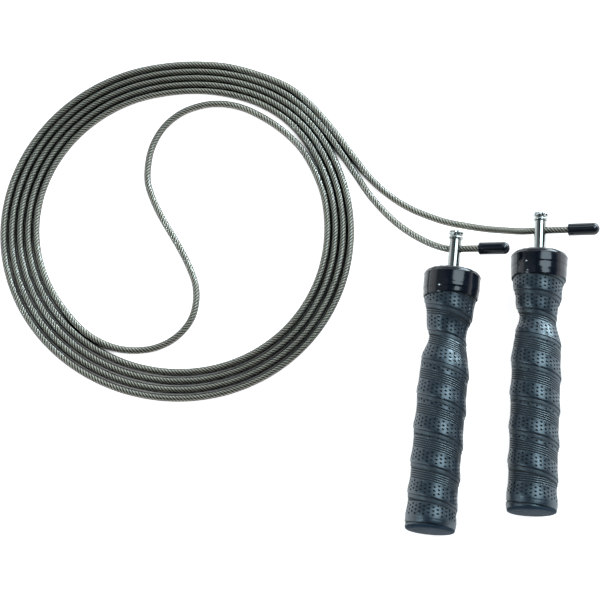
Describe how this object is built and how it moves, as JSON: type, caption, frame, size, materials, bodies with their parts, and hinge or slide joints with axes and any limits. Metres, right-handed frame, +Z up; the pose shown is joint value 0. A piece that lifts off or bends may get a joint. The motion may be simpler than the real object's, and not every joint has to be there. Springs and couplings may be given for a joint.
{
  "type": "jump rope",
  "caption": "Speed jump rope: a coated wire cable wound in a flat spiral, tape-wrapped ball-bearing handles, clamped axles and capped cable ends.",
  "frame": {"origin": "on the surface that the rope lies on, under the middle of the box round both handles and their axles", "axes": "+Z up from the surface, +Y from the handles' butts towards their axles, +X to the right, from the coil towards the handles"},
  "size_m": [0.3199, 0.263, 0.0303],
  "materials": {
    "cable_coat": "smoky clear PVC coat",
    "cable_wire": "twisted wire seen through the coat",
    "cap_vinyl": "moulded, smooth",
    "core_plastic": "moulded",
    "grip_tape": "tacky, perforated and grooved",
    "finish_tape": "glossy vinyl tape",
    "butt_plastic": "moulded, satin",
    "bearing_steel": "ground and polished",
    "pressed_steel": "zinc plated",
    "sleeve_alloy": "turned",
    "polished_steel": "polished"
  },
  "bodies": {
    "rope": {"coil": "cable_coat", "s_bend": "cable_coat", "left_lead": "cable_coat", "right_lead": "cable_coat", "left_end_cap": "cap_vinyl", "right_end_cap": "cap_vinyl"},
    "left_axle_set": {"left_axle": "polished_steel", "left_front_inner_race": "bearing_steel", "left_rear_inner_race": "bearing_steel", "left_spacer_sleeve": "sleeve_alloy", "left_washer": "pressed_steel", "left_lock_nut": "pressed_steel"},
    "left_handle": {"left_handle_core": "core_plastic", "left_grip_tape": "grip_tape", "left_finish_tape": "finish_tape", "left_butt_cap": "butt_plastic", "left_front_cap": "core_plastic", "left_front_outer_race": "bearing_steel", "left_rear_outer_race": "bearing_steel"},
    "left_front_ball_set": {"left_front_balls": "bearing_steel", "left_front_cage": "pressed_steel"},
    "left_rear_ball_set": {"left_rear_balls": "bearing_steel", "left_rear_cage": "pressed_steel"},
    "left_clamp": {"left_clamp_screw": "polished_steel"},
    "right_axle_set": {"right_axle": "polished_steel", "right_front_inner_race": "bearing_steel", "right_rear_inner_race": "bearing_steel", "right_spacer_sleeve": "sleeve_alloy", "right_washer": "pressed_steel", "right_lock_nut": "pressed_steel"},
    "right_handle": {"right_handle_core": "core_plastic", "right_grip_tape": "grip_tape", "right_finish_tape": "finish_tape", "right_butt_cap": "butt_plastic", "right_front_cap": "core_plastic", "right_front_outer_race": "bearing_steel", "right_rear_outer_race": "bearing_steel"},
    "right_front_ball_set": {"right_front_balls": "bearing_steel", "right_front_cage": "pressed_steel"},
    "right_rear_ball_set": {"right_rear_balls": "bearing_steel", "right_rear_cage": "pressed_steel"},
    "right_clamp": {"right_clamp_screw": "polished_steel"}
  },
  "joints": [
    {"name": "left_length_slide", "type": "slide", "parent": "rope", "child": "left_axle_set", "axis": [0.9082, -0.099, 0.4067], "range_m": [0, 0.01]},
    {"name": "left_handle_spin", "type": "hinge", "parent": "left_axle_set", "child": "left_handle", "pos_m": [-0.01867, 0.03435, 0.01498], "axis": [0.1028, 0.9946, 0.0127], "continuous": true},
    {"name": "left_front_balls_orbit", "type": "hinge", "parent": "left_axle_set", "child": "left_front_ball_set", "pos_m": [-0.01723, 0.04828, 0.01516], "axis": [0.1028, 0.9946, 0.0127], "continuous": true},
    {"name": "left_rear_balls_orbit", "type": "hinge", "parent": "left_axle_set", "child": "left_rear_ball_set", "pos_m": [-0.02072, 0.01446, 0.01473], "axis": [0.1028, 0.9946, 0.0127], "continuous": true},
    {"name": "left_clamp_turn", "type": "hinge", "parent": "left_axle_set", "child": "left_clamp", "pos_m": [-0.01466, 0.07315, 0.01548], "axis": [0.1028, 0.9946, 0.0127], "range_deg": [0, 720]},
    {"name": "right_length_slide", "type": "slide", "parent": "rope", "child": "right_axle_set", "axis": [0.9494, -0.057, 0.309], "range_m": [0, 0.011]},
    {"name": "right_handle_spin", "type": "hinge", "parent": "right_axle_set", "child": "right_handle", "pos_m": [0.0284, 0.0444, 0.01498], "axis": [0.0558, 0.9984, 0.0127], "continuous": true},
    {"name": "right_front_balls_orbit", "type": "hinge", "parent": "right_axle_set", "child": "right_front_ball_set", "pos_m": [0.02918, 0.05838, 0.01516], "axis": [0.0558, 0.9984, 0.0127], "continuous": true},
    {"name": "right_rear_balls_orbit", "type": "hinge", "parent": "right_axle_set", "child": "right_rear_ball_set", "pos_m": [0.02728, 0.02444, 0.01473], "axis": [0.0558, 0.9984, 0.0127], "continuous": true},
    {"name": "right_clamp_turn", "type": "hinge", "parent": "right_axle_set", "child": "right_clamp", "pos_m": [0.03057, 0.08334, 0.01548], "axis": [0.0558, 0.9984, 0.0127], "range_deg": [0, 720]}
  ],
  "couplings": [
    {"joint": "left_front_balls_orbit", "follows": "left_handle_spin", "ratio": 0.64286},
    {"joint": "left_rear_balls_orbit", "follows": "left_handle_spin", "ratio": 0.64286},
    {"joint": "right_front_balls_orbit", "follows": "right_handle_spin", "ratio": 0.64286},
    {"joint": "right_rear_balls_orbit", "follows": "right_handle_spin", "ratio": 0.64286}
  ]
}
